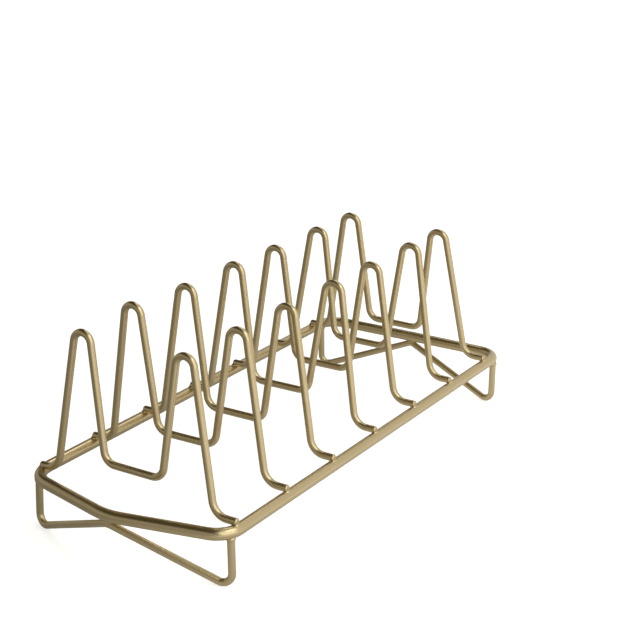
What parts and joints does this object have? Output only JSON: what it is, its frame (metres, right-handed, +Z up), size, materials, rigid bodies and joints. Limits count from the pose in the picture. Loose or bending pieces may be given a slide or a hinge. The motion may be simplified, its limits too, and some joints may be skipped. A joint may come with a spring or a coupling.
{
  "type": "pot lid rack",
  "caption": "Long open rack of bent gold-coloured steel wire that stands pot lids on edge: W-shaped dividers welded across a rounded rod ring, on W-shaped wire legs at both ends",
  "frame": {"origin": "on the floor, under the middle of the whole rack", "axes": "+X to the right across the rack, +Y along the rack towards the rear end, +Z up; the front end, whose rail is bent outwards more, is at -Y"},
  "size_m": [0.168, 0.3962, 0.1465],
  "materials": {
    "gold_steel": "satin champagne gold on steel"
  },
  "bodies": {
    "root": {"base_frame": "gold_steel", "front_leg": "gold_steel", "rear_leg": "gold_steel", "divider_1": "gold_steel", "divider_2": "gold_steel", "divider_3": "gold_steel", "divider_4": "gold_steel", "divider_5": "gold_steel", "divider_6": "gold_steel", "divider_7": "gold_steel"}
  },
  "joints": []
}
